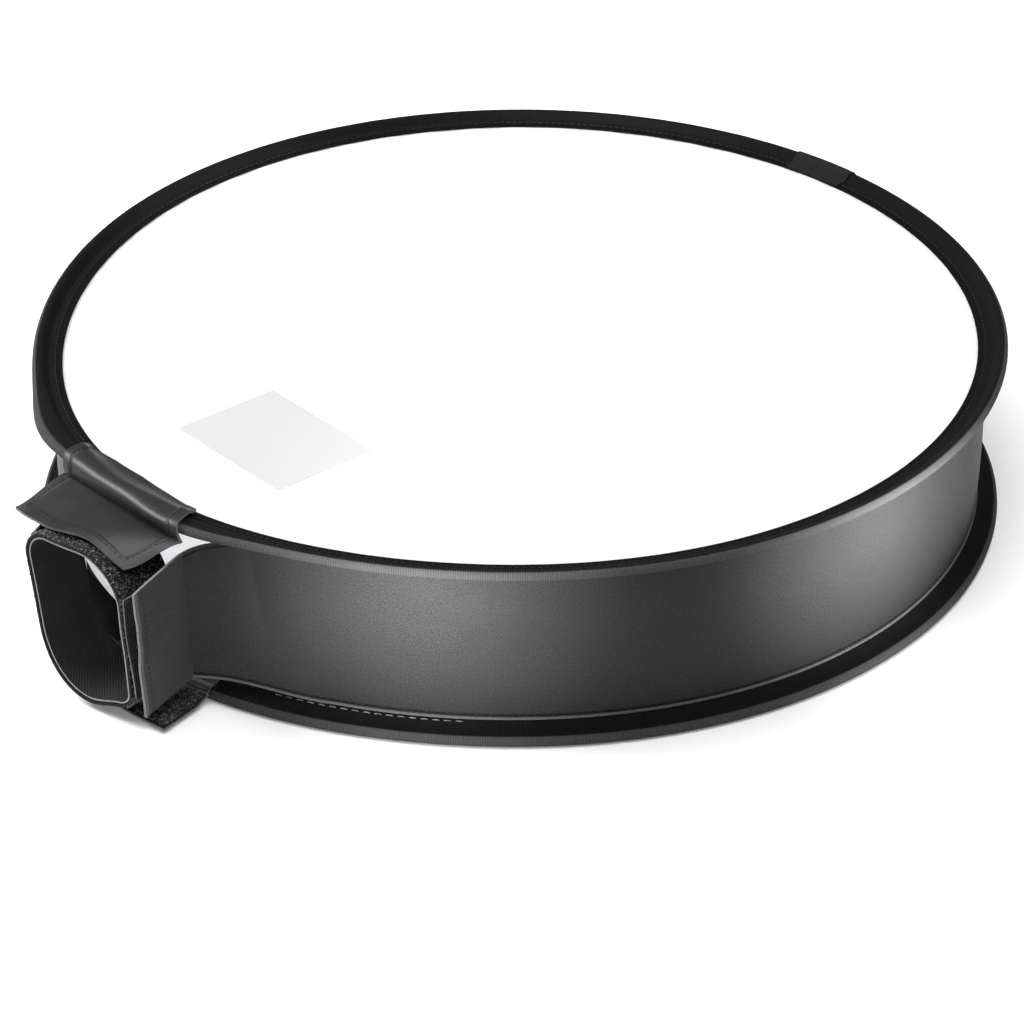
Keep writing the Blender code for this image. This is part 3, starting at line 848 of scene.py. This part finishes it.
def wall_grid(shift=0.0):
    """Middle surface of the wall, from the right wing round to the left one."""
    first = math.radians(-90) + FLARE_FROM
    last = math.radians(270) - FLARE_FROM
    around = drum(np.linspace(first, last, WALL_STEPS), WALL_R, 0.0)[:, :2]
    edges = [np.concatenate([flare("right", top)[::-1], around, flare("left", top)])
             for top in (False, True)]
    count = len(edges[0])
    index = np.arange(count)
    steps_in = np.minimum(index, count - 1 - index)
    share = np.maximum(0.0, 1 - steps_in / FLARE_STEPS)
    low = WALL_Z[0] + (WING_ROOT_Z[0] - WALL_Z[0]) * smooth(0.0, 0.7, share)
    high = WALL_Z[1] + (WING_ROOT_Z[1] - WALL_Z[1]) * share ** 2
    q = np.linspace(0, 1, WALL_ROWS)
    plan = edges[0][:, None] * (1 - q)[None, :, None] + edges[1][:, None] * q[None, :, None]
    z = low[:, None] + (high - low)[:, None] * q[None]
    grid = np.concatenate([plan, z[..., None]], -1)
    normal = grid_normals(grid, False)
    free = 1 - smooth(0.0, 0.8, share)[:, None]
    bow = shift + WAIST * np.sin(math.pi * q)[None] * free
    folds = share[:, None] * (1 - smooth(0.75, 1.0, share)[:, None]) * np.sin(math.pi * q)[None]
    lines = np.sin((grid[..., 2] * 0.55 + lengths(edges[0])[:, None] * 0.32))
    grid = grid - normal * (bow - 0.22 * folds * lines)[..., None]
    return grid, share


def hem_strip(name, grid, column, width, out, thickness, mats):
    """A narrow band along one long edge of the wall, on its outside."""
    edge = grid[:, column]
    next_in = grid[:, column + (1 if column == 0 else -1)]
    inward = unit(next_in - edge)
    normal = grid_normals(grid, False)[:, column]
    rows = [edge + inward * (width * k / 3 - 0.2) + normal * out for k in range(4)]
    strip = np.stack(rows, 1)
    return sheet_mesh(name, strip, thickness, mats, "rear_frame")


def side_wall(mats, hem_mats, thread):
    grid, _ = wall_grid()
    wall = sheet_mesh("side_wall_cloth", grid, WALL_T, mats, "rear_frame")
    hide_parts("side_wall")
    low_hem = hem_strip("wall_hem_lower", grid, 0, 0.9, 0.6, 0.6, hem_mats)
    top_hem = hem_strip("wall_hem_upper", grid, WALL_ROWS - 1, 2.4, 0.55, 0.5, mats)
    normal = grid_normals(grid, False)
    path = lerp(grid[:, 0], grid[:, 1], 0.75) + normal[:, 0] * 0.42
    seam = stitches("wall_seam_lower", [(path, normal[:, 0])], thread, "rear_frame",
                    pitch=2.8, long=1.9, thick=0.36)
    for piece in (wall, low_hem, top_hem, seam):
        collapse(piece)


def side_lining(mats):
    """Pale lining whose raw ends run on through the sleeve's opening."""
    grid, share = wall_grid(WALL_LINING_SHIFT)
    grid = grid[6:-6]
    share = share[6:-6]
    q = np.linspace(0, 1, WALL_ROWS)[None]
    ragged = share[:, None] * 2.2 * wobble(grid, 3.5, 7.0) * smooth(0.6, 1.0, q)
    grid[..., 2] = lerp(grid[..., 2], 33.0, 0.03) + ragged
    normal = grid_normals(grid, False)
    grid = grid + normal * (0.18 * wobble(grid, 8.0))[..., None]
    lining = sheet_mesh("side_wall_silver", grid, 0.3, mats, "rear_frame")
    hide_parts("side_wall_lining")
    collapse(lining)


def wing(side, mats, hem_mats, hook_mats, thread):
    v = np.linspace(WING_ROOT_V - HINGE_GAP + 0.15, WING_END[side], WING_STEPS)
    q = np.linspace(0, 1, WALL_ROWS)
    out = ((v - v[0]) / (v[-1] - v[0]))[:, None]
    low = lerp(WING_ROOT_Z[0], WING_TIP_Z[0], out)
    high = lerp(WING_ROOT_Z[1], WING_TIP_Z[1], out ** 1.15)
    z = low + (high - low) * q[None]
    grid = wing_middle(side, v[:, None], z)
    broad = 0.55 * np.sin(z * 0.16 + out * 5.0) * out
    fine = 0.16 * np.sin(z * 0.5 + out * 9.0 + 2.0 * wobble(grid, 14.0))
    normal = grid_normals(grid, False)
    grid = grid + normal * ((broad + fine) * np.sin(math.pi * q)[None])[..., None]
    body = f"{side}_wing"
    sheet = sheet_mesh(f"{side}_wing_cloth", grid, WING_T, mats, body)
    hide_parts(f"{side}_wing")
    outward = normal * (SIDES[side] if np.mean(normal[..., 0]) > 0 else -SIDES[side])
    last = slice(-3, None)
    hem = sheet_mesh(f"{side}_wing_hem", grid[last] + outward[last] * 0.3, 0.8, hem_mats, body)
    rows = grid[-6] + outward[-6] * 0.6
    seam = stitches(f"{side}_wing_seam", [(rows, outward[-6])], thread, body, pitch=2.6, long=1.8, thick=0.34)
    inner = grid[9:-7, 4:-4] - outward[9:-7, 4:-4] * 1.1
    pad = sheet_mesh(f"{side}_wing_hook_tape", inner, HOOK_T, hook_mats, body)
    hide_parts(f"{side}_wing_hook_pad")
    for piece in (sheet, hem, seam, pad):
        collapse(piece)


def collapse(piece):
    """Gives a cloth piece its own copy of its mesh."""
    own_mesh(piece)


# ---------------------------------------------------------------- strap

def strap_outline(offset):
    """Points (u, z) and outward normals round the strap at an offset from its inside."""
    corners = [np.array(p) for p, _ in STRAP_CORNERS]
    pieces = []
    for i, (_, radius) in enumerate(STRAP_CORNERS):
        here = corners[i]
        to_last = corners[i - 1] - here
        to_next = corners[(i + 1) % 4] - here
        to_last, to_next = to_last / np.linalg.norm(to_last), to_next / np.linalg.norm(to_next)
        half = math.acos(np.clip(to_last @ to_next, -1, 1)) / 2
        middle = to_last + to_next
        centre = here + middle / np.linalg.norm(middle) * radius / math.sin(half)
        start = here + to_last * radius / math.tan(half) - centre
        turn = -(math.pi - 2 * half) * np.linspace(0, 1, CORNER_STEPS)
        c, s = np.cos(turn), np.sin(turn)
        spoke = np.stack([start[0] * c - start[1] * s, start[0] * s + start[1] * c], -1)
        spoke = unit(spoke)
        pieces.append((centre + spoke * (radius + offset), spoke))
    points, normals = [], []
    for k, (arc_points, arc_normals) in enumerate(pieces):
        points.append(arc_points)
        normals.append(arc_normals)
        after, after_n = pieces[(k + 1) % 4][0][0], pieces[(k + 1) % 4][1][0]
        t = np.linspace(0, 1, STRAIGHT_STEPS + 2)[1:-1, None]
        points.append(lerp(arc_points[-1], after, t))
        normals.append(lerp(arc_normals[-1], after_n, t))
    return np.concatenate(points), np.concatenate(normals)


def strap_grid(offset, v_low, v_high):
    """Middle surface of a strap layer, and its outward normals."""
    outline, spokes = strap_outline(offset)
    v = np.linspace(v_low, v_high, STRAP_COLUMNS)
    grid = sleeve(outline[:, 0][:, None], v[None], outline[:, 1][:, None])
    roots = sleeve(outline[:, 0], 0.0, outline[:, 1])
    tips = sleeve(outline[:, 0] + spokes[:, 0], 0.0, outline[:, 1] + spokes[:, 1])
    normal = np.repeat((tips - roots)[:, None], STRAP_COLUMNS, 1)
    normal = unit(normal)
    ends = smooth(0.0, 0.35, np.abs(np.linspace(-1, 1, STRAP_COLUMNS)) - 0.62)[None, :, None]
    wave = STRAP_STIR * wobble(grid, 16.0)[..., None]
    grid = grid + normal * wave * ends
    out = (v - STRAP_V[0]) / (STRAP_V[1] - STRAP_V[0])
    low = (1 - smooth(0.0, 22.0, grid[..., 2])) * (1 - smooth(6.0, 26.0, outline[:, 0]))[:, None]
    grid[..., 2] -= STRAP_DROOP * out[None] * low
    return grid, normal


def strap(foam_mats, pile_mats, hook_mats, curl_mat, rng):
    grid, normal = strap_grid(LINING_T / 2, STRAP_V[0] + 0.2, STRAP_V[1])
    lining = sheet_mesh("strap_lining_band", grid, LINING_T, foam_mats, "strap", True, normal)
    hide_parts("strap_lining")
    base = LINING_T + PILE_GAP + PILE_BASE_T / 2
    grid, normal = strap_grid(base, STRAP_V[0], STRAP_V[1] + 0.4)
    band = sheet_mesh("strap_pile_band", grid, PILE_BASE_T, pile_mats, "strap", True, normal)
    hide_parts("strap_pile")
    loops = strap_loops(grid, normal, curl_mat, rng)
    hook_piece = hook_end(hook_mats)
    for piece in (lining, band, loops, hook_piece):
        collapse(piece)


def strap_loops(grid, normal, mat, rng):
    """Pile wherever the band isn't hidden by the flap or the ground."""
    rows, cols = grid.shape[:2]
    i, j = rng.uniform(0, rows, PILE_TRIES), rng.uniform(0.2, cols - 1.05, PILE_TRIES)
    a, b = i.astype(int), j.astype(int)
    facing = normal[a % rows, b, 2]
    at_front = b >= cols - PILE_FRONT_COLUMNS
    bare = (facing > PILE_UNDER_STRAP) & ((facing < PILE_UNDER_FLAP) | at_front)
    i, j, a, b = (values[bare][:PILE_LOOPS] for values in (i, j, a, b))
    share_i, share_j = (i - a)[:, None], (j - b)[:, None]
    where = lerp(lerp(grid[a % rows, b], grid[(a + 1) % rows, b], share_i),
                 lerp(grid[a % rows, b + 1], grid[(a + 1) % rows, b + 1], share_i), share_j)
    out = normal[a % rows, b]
    axis = np.tile(sleeve(0.0, 1.0, 0.0) - sleeve(0.0, 0.0, 0.0), (len(i), 1))
    loops = curls("strap_pile_loops", where + out * 0.4, out, axis, mat, "strap", rng, (0.36, 0.66))
    return loops


def hook_end(mats):
    """The strap's free end, lapped over the pile on its right-hand side."""
    top, bottom = (np.array(STRAP_CORNERS[i][0]) for i in (1, 2))
    out = np.array([top[1] - bottom[1], bottom[0] - top[0]])
    out /= np.linalg.norm(out)
    z = np.linspace(*HOOK_END_Z, 24)
    on = top + (bottom - top) * ((top[1] - z) / (top[1] - bottom[1]))[:, None]
    on = on + out * (HOOK_LIFT + 0.5 * np.sin(z * 0.14))[:, None]
    v = np.linspace(STRAP_V[0] + 1, STRAP_V[1] - 0.3, 12)
    grid = sleeve(on[:, 0][:, None], v[None], on[:, 1][:, None])
    piece = sheet_mesh("strap_hook_tape", grid, HOOK_T, mats, "strap")
    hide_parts("strap_hook_end")
    return piece


# ---------------------------------------------------------------- flaps

def hem_profile(distance):
    """Extra thickness of a folded hem, with a dimple along its stitching."""
    dimple = 0.25 * np.exp(-((distance - HEM + 1.0) / 0.35) ** 2)
    return HEM_RISE * (1 - smooth(HEM - 0.3, HEM + 0.3, distance)) - dimple


def rounded(values, reach=6):
    """A row of values with its corners eased."""
    padded = np.pad(values, reach, mode="reflect", reflect_type="odd")
    return np.convolve(padded, np.ones(2 * reach + 1) / (2 * reach + 1), "valid")


def top_wrap(s, t):
    """The leather over the front rim, from its inner edge (t = 0) to the crease (t = 1)."""
    profile = np.concatenate([np.array(WRAP_START), arc(BEAD_R + 1.9, 112, -18, 16), np.array([WRAP_LAST])])
    run = lengths(profile)
    d, h = (rounded(np.interp(t[0] * run[-1], run, profile[:, axis]), 5) for axis in (0, 1))
    bend = WRAP_START[-1][0]
    edge = np.interp(s, np.linspace(0, 1, len(WRAP_EDGE_D)), WRAP_EDGE_D)
    d = np.where(d < bend, bend + (d - bend) * (edge - bend) / (WRAP_START[0][0] - bend), d)
    crease_x = lerp(*CREASE_X, s)
    bearing = lerp(lerp(*WRAP_INNER, s), np.arctan2(CREASE_Y, crease_x), t ** 1.2)
    wrap = drum(bearing, BEAD_CENTRE_R + d, FRONT_BEAD_Z + h[None])
    straight = np.stack(np.broadcast_arrays(crease_x, CREASE_Y, CREASE_Z), -1)
    pin = smooth(0.72, 1.0, t)[..., None]
    wrap = wrap + (straight - wrap[:, -1:]) * pin
    wrap[..., 1] -= 0.8 * np.sin(math.pi * s) ** 0.7 * np.exp(-((t - 0.66) / 0.3) ** 2)
    wrap[..., 2] += 0.35 * np.sin(s * 9.0 + t * 4.0) * np.sin(math.pi * t) * np.sin(math.pi * s)
    return wrap


def top_flap(s, f):
    """The leather from the crease (f = 0) to the flap's outer edge (f = 1)."""
    x = lerp(lerp(*CREASE_X, s), lerp(*FLAP_OUTER_X, s), f)
    y = lerp(CREASE_Y, rounded(np.interp(s[:, 0], FLAP_EDGE, FLAP_EDGE_Y))[:, None], f)
    arch = rounded(np.interp(s[:, 0], FLAP_EDGE, FLAP_EDGE_Z))[:, None]
    z = lerp(CREASE_Z, arch, smooth(0.0, 0.95, f)) + 1.1 * np.sin(f * math.pi) * np.sin(s * math.pi)
    return np.stack([x, y, z], -1)


def top_leather_grid():
    """Middle surface of the top leather, and the column of its crease."""
    rows, wrap_cols, flap_cols = 110, 44, 46
    s = np.linspace(0, 1, rows)[:, None]
    wrap = top_wrap(s, np.linspace(0, 1, wrap_cols)[None])
    flap = top_flap(s, np.linspace(0, 1, flap_cols + 1)[1:][None])
    return np.concatenate([wrap, flap], 1), wrap_cols


def top_seams(grid, normal, run, width, crease):
    """Stitching along the flap's three free edges and beside its crease, as (path, up)."""
    skin = grid + normal * (LEATHER_T / 2 + 0.26)
    row = int(np.argmin(np.abs(width - (HEM - 1.0))))
    col = int(np.argmin(np.abs(run[-1] - run - (HEM - 1.0))))
    between = slice(row, len(grid) - row)
    seams = [(skin[k, 1:col + 1], normal[k, 1:col + 1]) for k in (row, len(grid) - 1 - row)]
    seams.append((skin[between, col], normal[between, col]))
    up = normal[between, crease - 2]
    seams.append((skin[between, crease - 2] - up * 0.2, up))
    return seams


def top_leather(mats, thread):
    grid, crease = top_leather_grid()
    run, width = lengths(grid[len(grid) // 2]), lengths(grid[:, crease])
    to_side = np.minimum(width, width[-1] - width)[:, None]
    to_tip = (run[-1] - run)[None]
    normal = facing_up(grid)
    hem = hem_profile(np.minimum(to_side, to_tip))
    crease_dip = -0.35 * np.exp(-((run - run[crease]) / 0.9) ** 2)[None]
    outer = grid + normal * (hem + crease_dip)[..., None] * 0.5
    leather = sheet_mesh("top_flap_leather", outer, LEATHER_T + np.maximum(hem, -0.2), mats, None)
    seams = top_seams(grid, normal, run, width, crease)
    sewn = stitches("top_flap_stitching", seams, thread, None, pitch=2.5, long=1.7, thick=0.34)
    for piece in (leather, sewn):
        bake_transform(piece)
    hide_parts("top_flap", "top_flap_rim_wrap")
    return grid, normal, crease


def top_hook_pad(grid, normal, crease, mats):
    inner = grid[14:-14, crease + 8:-10] - normal[14:-14, crease + 8:-10] * 0.95
    pad = sheet_mesh("top_flap_hook_tape", inner[::2], 0.7, mats, "top_flap")
    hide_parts("top_flap_hook_pad")


def bottom_leather_grid():
    """Middle surface of the bottom leather, and how many of its columns lie on the rim."""
    rows, wrap_cols, flap_cols = 80, 24, 36
    s = np.linspace(0, 1, rows)[:, None]
    profile = np.concatenate([np.array(BOTTOM_START), arc(BEAD_R + 0.75, 125, 32, 12)])
    run = lengths(profile)
    at = np.linspace(0, 1, wrap_cols) * run[-1]
    d, h = (np.interp(at, run, profile[:, axis]) for axis in (0, 1))
    x = lerp(*BOTTOM_X, s)
    height = REAR_BEAD_Z + h + tilt_of(d, REAR_TILT)
    wrap = drum(np.arctan2(CREASE_Y, x), BEAD_CENTRE_R + d[None], height[None])
    f = np.linspace(0, 1, flap_cols + 1)[1:][None]
    y = lerp(wrap[:, -1:, 1], lerp(*BOTTOM_OUTER_Y, s), f)
    z = lerp(wrap[:, -1:, 2], BOTTOM_Z, smooth(0, 0.35, f)) + 0.35 * np.sin(s * 7.0) * f
    flap = np.stack([lerp(x, lerp(*BOTTOM_OUTER_X, s), f), y, z], -1)
    return np.concatenate([wrap, flap], 1), wrap_cols


def bottom_pile(top, normal, mats, curl_mat, rng):
    """Loop pile over the bottom flap's upper face."""
    pad = sheet_mesh("bottom_flap_pile_pad", top, 0.5, mats, "bottom_flap")
    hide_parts("bottom_flap_loop_pad")
    rows, cols = top.shape[:2]
    a, b = rng.integers(0, rows - 1, PAD_LOOPS), rng.integers(0, cols - 1, PAD_LOOPS)
    where = lerp(top[a, b], top[a + 1, b + 1], rng.uniform(0, 1, (PAD_LOOPS, 1)))
    up, axis = normal[a, b], np.tile([1.0, 0, 0], (PAD_LOOPS, 1))
    loops = curls("bottom_flap_pile_loops", where + up * 0.25, up, axis, curl_mat, "bottom_flap", rng,
                  (0.35, 0.6))


def bottom_leather(mats, pile, curl_mat, rng):
    grid, wrap_cols = bottom_leather_grid()
    run, width = lengths(grid[len(grid) // 2]), lengths(grid[:, -1])
    distance = np.minimum(np.minimum(width, width[-1] - width)[:, None], (run[-1] - run)[None])
    hem = 0.25 * (1 - smooth(1.6, 2.1, distance))
    normal = facing_up(grid)
    leather = sheet_mesh("bottom_flap_leather", grid, LEATHER_T + hem, mats, None)
    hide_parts("bottom_flap", "bottom_flap_rim_wrap")
    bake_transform(leather)
    inner = (slice(1, -1), slice(wrap_cols + 1, -1))
    bottom_pile(grid[inner] + normal[inner] * 0.7, normal[inner], pile, curl_mat, rng)


# ---------------------------------------------------------------- stage

def direction(azimuth, elevation):
    """Unit vector at an azimuth from -Y and an elevation, both in radians."""
    flat = math.cos(elevation)
    return Vector((math.sin(azimuth) * flat, -math.cos(azimuth) * flat, math.sin(elevation)))


def place_light(name, light, bearing, elevation, distance):
    """Aim a light at the drum from a bearing and an elevation in degrees."""
    obj = placed(name, light)
    away = direction(math.radians(bearing), math.radians(elevation))
    obj.location = Vector(LIGHT_TARGET) + away * distance
    obj.rotation_euler = away.to_track_quat("Z", "Y").to_euler()


def softbox(name, bearing, elevation, distance, size, power):
    light = bpy.data.lights.new(name, "AREA")
    light.shape = "RECTANGLE"
    light.size, light.size_y = size
    light.energy = power
    place_light(name, light, bearing, elevation, distance)


def spot(name, bearing, elevation, distance, power, angle):
    """A snooted light that picks out a stretch of the side wall, with soft edges."""
    light = bpy.data.lights.new(name, "SPOT")
    light.energy = power
    light.spot_size = math.radians(angle)
    light.spot_blend = 1.0
    light.shadow_soft_size = 0.04
    place_light(name, light, bearing, elevation, distance)


def world(strength):
    made = bpy.data.worlds.new("studio")
    bpy.context.scene.world = made
    made.use_nodes = True
    background = made.node_tree.nodes["Background"]
    background.inputs["Color"].default_value = (1.0, 1.0, 1.0, 1.0)
    background.inputs["Strength"].default_value = strength


def floor(mat):
    mesh = bpy.data.meshes.new("floor")
    corners = [(x * FLOOR_SIZE, y * FLOOR_SIZE) for x, y in ((-1, -1), (1, -1), (1, 1), (-1, 1))]
    mesh.from_pydata([(x, y, FLOOR_Z * MM - 0.0002) for x, y in corners], [], [(0, 1, 2, 3)])
    mesh.materials.append(mat)
    placed("floor", mesh)


def camera():
    data = bpy.data.cameras.new("camera")
    data.sensor_width = SENSOR
    data.lens = LENS
    data.clip_end = 50
    obj = placed("camera", data)
    bpy.context.scene.camera = obj
    back = direction(AZIMUTH, ELEVATION)
    level = Vector((math.cos(AZIMUTH), math.sin(AZIMUTH), 0))
    above = back.cross(level)
    c, s = math.cos(ROLL), math.sin(ROLL)
    right, up = level * c - above * s, level * s + above * c
    away = (back - right * AIM[0] - up * AIM[1]).normalized()
    right = up.cross(away).normalized()
    up = away.cross(right)
    obj.matrix_world = Matrix((right, up, away)).transposed().to_4x4()
    obj.location = Vector(CAMERA_TARGET) + back * DISTANCE


def stage(mat):
    bpy.context.scene.view_settings.view_transform = "Standard"
    world(0.27)
    floor(mat)
    camera()
    view = math.degrees(AZIMUTH)
    softbox("overhead", view + 10, 80, 1.6, (1.6, 1.6), 33)
    spot("left_spot", view - 11.4, 8, 0.95, 165, 9.5)
    spot("right_spot", view + 47.4, 8, 0.95, 275, 9.0)
    softbox("leather_light", view - 98, 37, 1.2, (0.6, 0.5), 16)


# ---------------------------------------------------------------- assembly

def finish_cad_nodes(steel):
    for name in ("front_hoop_wire", "rear_hoop_wire", "front_hoop_ferrule", "rear_hoop_ferrule"):
        obj = frame["nodes"][name]
        obj.data.materials.clear()
        obj.data.materials.append(steel)


def make_looks():
    """Every material, by what it is used for."""
    return SimpleNamespace(
        # A tape's two ranges are where its painted lip highlight and its painted inner-edge shadow lie, in
        # millimetres across it.
        tape=grosgrain("binding_tape", 0.0045, 0.009, (12.1, 19.3), (-1.0, 3.0)),
        lap_tape=grosgrain("lap_tape", 0.011, 0.02, (11.5, 19.5), (-3.0, -2.0)),
        # The shell's height of 1.75 mm is a painted shadow line over the gap above its lower hem.
        shell=coated_nylon("shell_cloth", 0.009, 0.038, (1.75,)),
        # The wing cloth is the shell nylon in a lighter tone: painted light for the wings' brighter facing.
        wing=coated_nylon("wing_cloth", 0.022, 0.062),
        hem=coated_nylon("hem_cloth", 0.05, 0.15),
        wing_hem=coated_nylon("wing_hem", 0.05, 0.14),
        edge=raw_edge("raw_edge", 0.04, 0.2),
        foam_edge=raw_edge("foam_edge", 0.08, 0.34),
        leather=leatherette("leatherette"),
        leather_edge=raw_edge("leather_edge", 0.03, 0.11),
        foam=ribbed_foam("strap_foam"),
        pile=threads("loop_pile_base", 0.004, 0.012, 0.9),
        loops=threads("loop_pile_thread", 0.014, 0.32, 0.5),
        hook=dotted("hook_tape", 0.008, 0.05, 1.1),
        silver=silver_film("silver_cloth"),
        white=diffusing_nylon("diffuser_cloth", 0.92, 0.96, 0.62),
        label=diffusing_nylon("label_cloth", 0.52, 0.54, 0.2),
        black=coated_nylon("black_cloth", 0.008, 0.02),
        steel=spring_steel("spring_steel"),
        dark_thread=threads("dark_thread", 0.006, 0.016),
        grey_thread=threads("grey_thread", 0.08, 0.2))


def rims(look):
    for end, bead_z, side, tilt in (("front", FRONT_BEAD_Z, 1, 0.0), ("rear", REAR_BEAD_Z, -1, REAR_TILT)):
        body = f"{end}_frame"
        ring = binding(f"{end}_binding", bead_z, side, tilt, [look.tape], body)
        sewn = binding_stitches(f"{end}_binding_stitching", bead_z, side, tilt, look.dark_thread, body)
        join = lap(f"{end}_binding_end", bead_z, side, tilt, [look.lap_tape], body)
        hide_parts(f"{end}_rim_binding")
        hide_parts(f"{end}_binding_lap")
    hem_dashes(look.grey_thread)


def build(look, rng):
    rims(look)
    diffuser([look.white])
    patch([look.label])
    rear_cloths([look.black], [look.silver])
    side_wall([look.shell, look.edge], [look.hem, look.edge], look.dark_thread)
    side_lining([look.silver])
    for side in SIDES:
        wing(side, [look.wing, look.edge], [look.wing_hem, look.edge], [look.hook], look.dark_thread)
    strap([look.foam, look.foam_edge], [look.pile], [look.hook, look.edge], look.loops, rng)
    grid, normal, crease = top_leather([look.leather, look.leather_edge], look.dark_thread)
    top_hook_pad(grid, normal, crease, [look.hook, look.edge])
    bottom_leather([look.leather, look.leather_edge], [look.pile], look.loops, rng)
    finish_cad_nodes(look.steel)
    stage(paper_floor("paper"))


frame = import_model()
build(make_looks(), np.random.default_rng(SEED))
